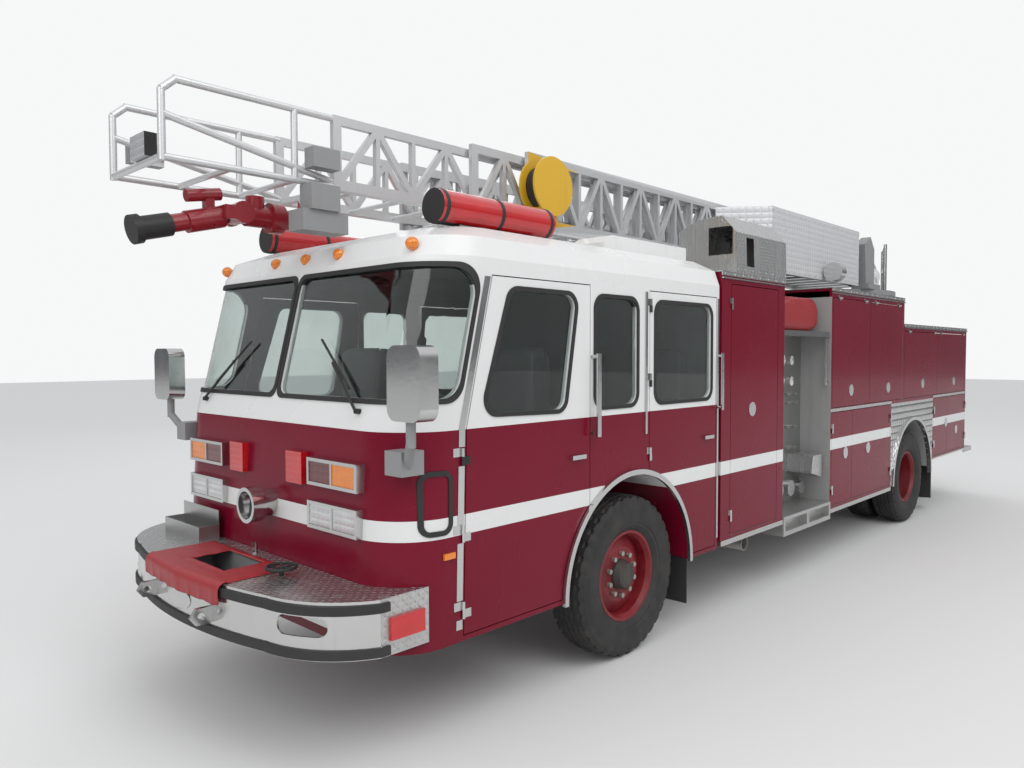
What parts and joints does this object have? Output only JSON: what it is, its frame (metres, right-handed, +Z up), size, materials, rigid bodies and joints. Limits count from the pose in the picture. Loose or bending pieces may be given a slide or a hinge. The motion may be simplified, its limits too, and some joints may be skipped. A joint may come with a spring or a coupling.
{
  "type": "fire engine with an aerial ladder",
  "caption": "Custom-cab fire engine with side compartments, a pump panel and a rear-mounted extending ladder on a turntable.",
  "frame": {"origin": "on the ground, midway along the vehicle's length and width", "axes": "+X to the vehicle's front, +Y to its left, +Z up"},
  "size_m": [11.2217, 2.93, 3.45],
  "materials": {
    "red_paint": "gloss",
    "frame_black": "satin",
    "cast_grey": "rough",
    "polished": "polished",
    "ladder_metal": "satin",
    "tread_plate": "bright tread plate",
    "brushed": "brushed",
    "bright": "polished",
    "lamp_red": "ribbed lens",
    "tyre": "matte",
    "rubber": "matte",
    "dark_vinyl": "grained vinyl",
    "red_vinyl": "coated cloth",
    "glass": "clear, lightly tinted"
  },
  "bodies": {
    "chassis": {"chassis_frame": "frame_black", "driveline": "cast_grey", "axles": "frame_black", "cab_shell": "red_paint", "cab_glass": "glass", "cab_interior": "dark_vinyl", "bumper": "red_paint", "seats": "dark_vinyl", "body_shell": "red_paint", "body_plates": "tread_plate", "pump_panel": "brushed", "edge_rubber": "rubber", "bright_trim": "bright", "lamps": "lamp_red", "rubber_trim": "rubber", "vinyl_covers": "red_vinyl"},
    "knuckle_left": {"knuckle_left": "frame_black"},
    "wheel_front_left": {"tyre_front_left": "tyre", "rim_front_left": "polished"},
    "wheels_rear_left": {"tyres_rear_left": "tyre", "rims_rear_left": "polished"},
    "door_front_left": {"door_front_left": "red_paint"},
    "door_crew_left": {"door_crew_left": "red_paint"},
    "knuckle_right": {"knuckle_right": "frame_black"},
    "wheel_front_right": {"tyre_front_right": "tyre", "rim_front_right": "polished"},
    "wheels_rear_right": {"tyres_rear_right": "tyre", "rims_rear_right": "polished"},
    "door_front_right": {"door_front_right": "red_paint"},
    "door_crew_right": {"door_crew_right": "red_paint"},
    "bay_tall_left": {"bay_tall_left": "red_paint"},
    "bay_tall_right": {"bay_tall_right": "red_paint"},
    "bay_high_a_left": {"bay_high_a_left": "red_paint"},
    "bay_high_a_right": {"bay_high_a_right": "red_paint"},
    "bay_high_b_left": {"bay_high_b_left": "red_paint"},
    "bay_high_b_right": {"bay_high_b_right": "red_paint"},
    "bay_mid_a_left": {"bay_mid_a_left": "red_paint"},
    "bay_mid_a_right": {"bay_mid_a_right": "red_paint"},
    "bay_mid_b_left": {"bay_mid_b_left": "red_paint"},
    "bay_mid_b_right": {"bay_mid_b_right": "red_paint"},
    "bay_rear_a_left": {"bay_rear_a_left": "red_paint"},
    "bay_rear_a_right": {"bay_rear_a_right": "red_paint"},
    "bay_rear_b_left": {"bay_rear_b_left": "red_paint"},
    "bay_rear_b_right": {"bay_rear_b_right": "red_paint"},
    "bay_tail_a_left": {"bay_tail_a_left": "red_paint"},
    "bay_tail_a_right": {"bay_tail_a_right": "red_paint"},
    "bay_tail_b_left": {"bay_tail_b_left": "red_paint"},
    "bay_tail_b_right": {"bay_tail_b_right": "red_paint"},
    "stabilizer_beam_left": {"stabilizer_beam_left": "red_paint"},
    "stabilizer_leg_left": {"stabilizer_leg_left": "red_paint"},
    "stabilizer_beam_right": {"stabilizer_beam_right": "red_paint"},
    "stabilizer_leg_right": {"stabilizer_leg_right": "red_paint"},
    "turntable": {"turntable": "tread_plate"},
    "ladder_base": {"ladder_base": "ladder_metal"},
    "ladder_mid": {"ladder_mid": "ladder_metal"},
    "ladder_fly": {"ladder_fly": "ladder_metal"},
    "monitor": {"monitor": "red_paint"},
    "lift_barrels": {"lift_barrels": "red_paint"},
    "lift_rods": {"lift_rods": "bright"}
  },
  "joints": [
    {"name": "steer_left", "type": "hinge", "parent": "chassis", "child": "knuckle_left", "pos_m": [2.87, 0.815, 0.54], "axis": [0, 0, 1], "range_deg": [-32, 32]},
    {"name": "roll_front_left", "type": "hinge", "parent": "knuckle_left", "child": "wheel_front_left", "pos_m": [2.87, 1.052, 0.54], "axis": [0, 1, 0], "continuous": true},
    {"name": "roll_rear_left", "type": "hinge", "parent": "chassis", "child": "wheels_rear_left", "pos_m": [-2.88, 0.9, 0.54], "axis": [0, 1, 0], "continuous": true},
    {"name": "door_front_left_swing", "type": "hinge", "parent": "chassis", "child": "door_front_left", "pos_m": [4.429, 1.2365, 1.5], "axis": [0, 0, -1], "range_deg": [0, 75]},
    {"name": "door_crew_left_swing", "type": "hinge", "parent": "chassis", "child": "door_crew_left", "pos_m": [2.708, 1.2365, 1.5], "axis": [0, 0, -1], "range_deg": [0, 75]},
    {"name": "steer_right", "type": "hinge", "parent": "chassis", "child": "knuckle_right", "pos_m": [2.87, -0.815, 0.54], "axis": [0, 0, 1], "range_deg": [-32, 32]},
    {"name": "roll_front_right", "type": "hinge", "parent": "knuckle_right", "child": "wheel_front_right", "pos_m": [2.87, -1.052, 0.54], "axis": [0, 1, 0], "continuous": true},
    {"name": "roll_rear_right", "type": "hinge", "parent": "chassis", "child": "wheels_rear_right", "pos_m": [-2.88, -0.9, 0.54], "axis": [0, 1, 0], "continuous": true},
    {"name": "door_front_right_swing", "type": "hinge", "parent": "chassis", "child": "door_front_right", "pos_m": [4.429, -1.2365, 1.5], "axis": [0, 0, 1], "range_deg": [0, 75]},
    {"name": "door_crew_right_swing", "type": "hinge", "parent": "chassis", "child": "door_crew_right", "pos_m": [2.708, -1.2365, 1.5], "axis": [0, 0, 1], "range_deg": [0, 75]},
    {"name": "bay_tall_left_swing", "type": "hinge", "parent": "chassis", "child": "bay_tall_left", "pos_m": [1.603, 1.2475, 1.586], "axis": [0, 0, -1], "range_deg": [0, 95]},
    {"name": "bay_tall_right_swing", "type": "hinge", "parent": "chassis", "child": "bay_tall_right", "pos_m": [1.603, -1.2475, 1.586], "axis": [0, 0, 1], "range_deg": [0, 95]},
    {"name": "bay_high_a_left_lift", "type": "hinge", "parent": "chassis", "child": "bay_high_a_left", "pos_m": [-0.9085, 1.2475, 2.563], "axis": [1, 0, 0], "range_deg": [0, 90]},
    {"name": "bay_high_a_right_lift", "type": "hinge", "parent": "chassis", "child": "bay_high_a_right", "pos_m": [-0.9085, -1.2475, 2.563], "axis": [-1, 0, 0], "range_deg": [0, 90]},
    {"name": "bay_high_b_left_lift", "type": "hinge", "parent": "chassis", "child": "bay_high_b_left", "pos_m": [-1.9315, 1.2475, 2.563], "axis": [1, 0, 0], "range_deg": [0, 90]},
    {"name": "bay_high_b_right_lift", "type": "hinge", "parent": "chassis", "child": "bay_high_b_right", "pos_m": [-1.9315, -1.2475, 2.563], "axis": [-1, 0, 0], "range_deg": [0, 90]},
    {"name": "bay_mid_a_left_swing", "type": "hinge", "parent": "chassis", "child": "bay_mid_a_left", "pos_m": [-0.407, 1.2475, 1.0005], "axis": [0, 0, -1], "range_deg": [0, 95]},
    {"name": "bay_mid_a_right_swing", "type": "hinge", "parent": "chassis", "child": "bay_mid_a_right", "pos_m": [-0.407, -1.2475, 1.0005], "axis": [0, 0, 1], "range_deg": [0, 95]},
    {"name": "bay_mid_b_left_swing", "type": "hinge", "parent": "chassis", "child": "bay_mid_b_left", "pos_m": [-2.073, 1.2475, 1.0005], "axis": [0, 0, 1], "range_deg": [0, 95]},
    {"name": "bay_mid_b_right_swing", "type": "hinge", "parent": "chassis", "child": "bay_mid_b_right", "pos_m": [-2.073, -1.2475, 1.0005], "axis": [0, 0, -1], "range_deg": [0, 95]},
    {"name": "bay_rear_a_left_lift", "type": "hinge", "parent": "chassis", "child": "bay_rear_a_left", "pos_m": [-3.1735, 1.2475, 2.278], "axis": [1, 0, 0], "range_deg": [0, 90]},
    {"name": "bay_rear_a_right_lift", "type": "hinge", "parent": "chassis", "child": "bay_rear_a_right", "pos_m": [-3.1735, -1.2475, 2.278], "axis": [-1, 0, 0], "range_deg": [0, 90]},
    {"name": "bay_rear_b_left_lift", "type": "hinge", "parent": "chassis", "child": "bay_rear_b_left", "pos_m": [-4.4865, 1.2475, 2.278], "axis": [1, 0, 0], "range_deg": [0, 90]},
    {"name": "bay_rear_b_right_lift", "type": "hinge", "parent": "chassis", "child": "bay_rear_b_right", "pos_m": [-4.4865, -1.2475, 2.278], "axis": [-1, 0, 0], "range_deg": [0, 90]},
    {"name": "bay_tail_a_left_swing", "type": "hinge", "parent": "chassis", "child": "bay_tail_a_left", "pos_m": [-3.697, 1.2475, 1.085], "axis": [0, 0, -1], "range_deg": [0, 95]},
    {"name": "bay_tail_a_right_swing", "type": "hinge", "parent": "chassis", "child": "bay_tail_a_right", "pos_m": [-3.697, -1.2475, 1.085], "axis": [0, 0, 1], "range_deg": [0, 95]},
    {"name": "bay_tail_b_left_swing", "type": "hinge", "parent": "chassis", "child": "bay_tail_b_left", "pos_m": [-5.153, 1.2475, 1.085], "axis": [0, 0, 1], "range_deg": [0, 95]},
    {"name": "bay_tail_b_right_swing", "type": "hinge", "parent": "chassis", "child": "bay_tail_b_right", "pos_m": [-5.153, -1.2475, 1.085], "axis": [0, 0, -1], "range_deg": [0, 95]},
    {"name": "turntable_turn", "type": "hinge", "parent": "chassis", "child": "turntable", "pos_m": [-2.88, 0, 2.722], "axis": [0, 0, 1], "continuous": true},
    {"name": "ladder_raise", "type": "hinge", "parent": "turntable", "child": "ladder_base", "pos_m": [-3.83, 0, 3.05], "axis": [0, -1, 0], "range_deg": [0, 75]},
    {"name": "mid_extend", "type": "slide", "parent": "ladder_base", "child": "ladder_mid", "axis": [1, 0, 0], "range_m": [0, 5.4]},
    {"name": "fly_extend", "type": "slide", "parent": "ladder_mid", "child": "ladder_fly", "axis": [1, 0, 0], "range_m": [0, 5.4]},
    {"name": "nozzle_pitch", "type": "hinge", "parent": "ladder_fly", "child": "monitor", "pos_m": [5.01, 0, 2.82], "axis": [0, 1, 0], "range_deg": [0, 60]},
    {"name": "barrel_tilt", "type": "hinge", "parent": "turntable", "child": "lift_barrels", "pos_m": [-2.93, 0, 2.86], "axis": [0, -1, 0], "range_deg": [0, 88.1]},
    {"name": "rod_stroke", "type": "slide", "parent": "lift_barrels", "child": "lift_rods", "axis": [0.9979, 0, 0.0649], "range_m": [0, 0.974]},
    {"name": "stabilizer_out_left", "type": "slide", "parent": "chassis", "child": "stabilizer_beam_left", "axis": [0, 1, 0], "range_m": [0, 0.75]},
    {"name": "stabilizer_down_left", "type": "slide", "parent": "stabilizer_beam_left", "child": "stabilizer_leg_left", "axis": [0, 0, -1], "range_m": [0, 0.155]},
    {"name": "stabilizer_out_right", "type": "slide", "parent": "chassis", "child": "stabilizer_beam_right", "axis": [0, -1, 0], "range_m": [0, 0.75]},
    {"name": "stabilizer_down_right", "type": "slide", "parent": "stabilizer_beam_right", "child": "stabilizer_leg_right", "axis": [0, 0, -1], "range_m": [0, 0.155]}
  ],
  "couplings": [
    {"joint": "steer_right", "follows": "steer_left", "ratio": 1},
    {"joint": "fly_extend", "follows": "mid_extend", "ratio": 1},
    {"joint": "barrel_tilt", "follows": "ladder_raise", "ratio": 1.1738},
    {"joint": "rod_stroke", "follows": "ladder_raise", "m_per_rad": 0.7432}
  ]
}
